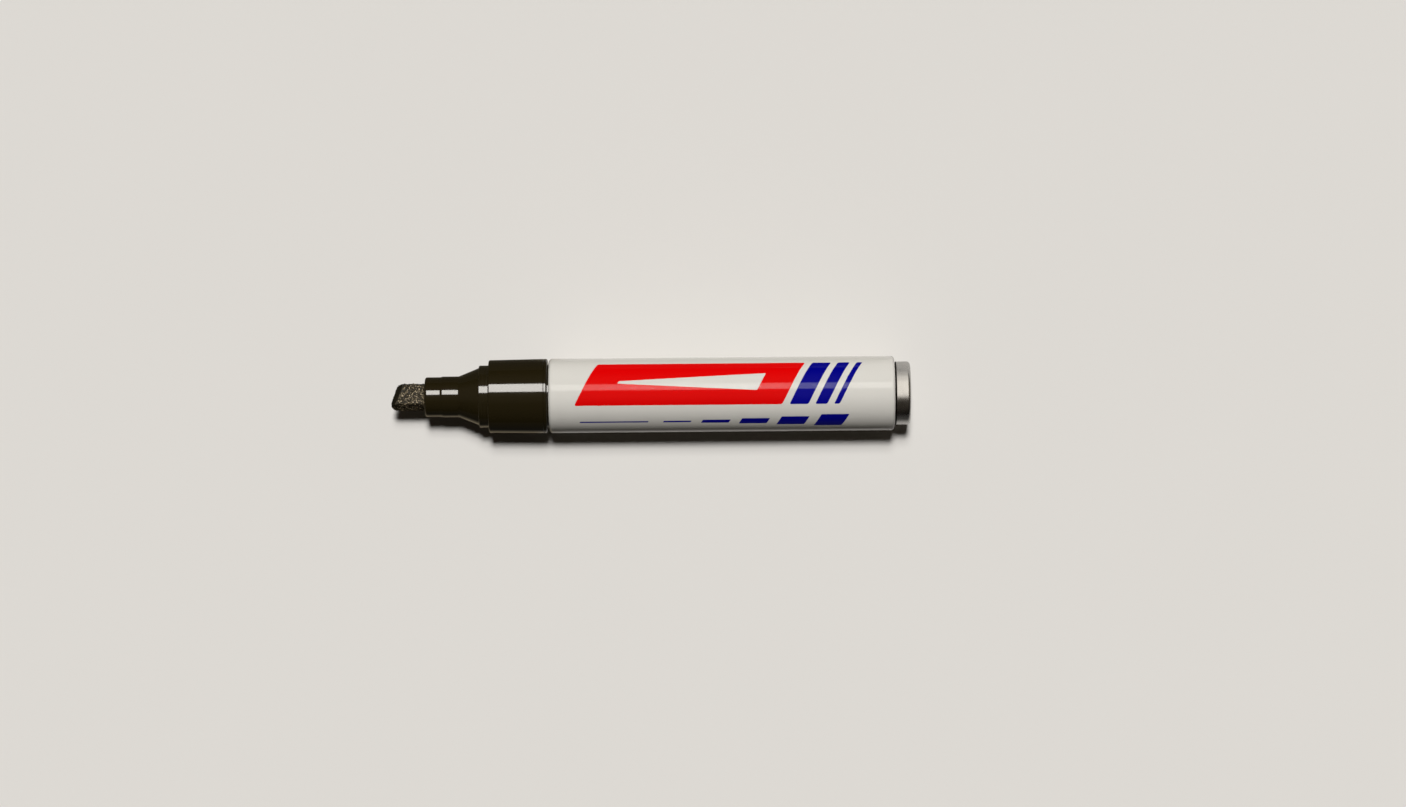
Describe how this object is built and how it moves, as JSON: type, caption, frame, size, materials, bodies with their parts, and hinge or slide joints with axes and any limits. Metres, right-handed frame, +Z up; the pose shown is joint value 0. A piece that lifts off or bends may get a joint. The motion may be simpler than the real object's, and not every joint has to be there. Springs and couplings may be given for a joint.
{
  "type": "permanent marker",
  "caption": "Bold permanent marker, uncapped and lying on its side: chisel felt nib that pulls out, stepped black front section, white rolled aluminium barrel and silver tail plug.",
  "frame": {"origin": "middle of the marker's length, on the surface that it lies on", "axes": "+X along the marker towards the tail, +Z up, so the nib points to -X"},
  "size_m": [0.1218, 0.0176, 0.0175],
  "materials": {
    "barrel_lacquer": "gloss",
    "black_moulding": "gloss",
    "bare_aluminium": "satin",
    "nib_felt": "matte",
    "inked_fibre": "matte",
    "film": "gloss"
  },
  "bodies": {
    "marker": {"barrel": "barrel_lacquer", "front_section": "black_moulding", "tail_plug": "bare_aluminium", "ink_reservoir": "inked_fibre", "reservoir_film": "film"},
    "nib": {"nib": "nib_felt"}
  },
  "joints": [
    {"name": "nib_pull", "type": "slide", "parent": "marker", "child": "nib", "axis": [-1, 0, 0], "range_m": [0, 0.028]}
  ]
}
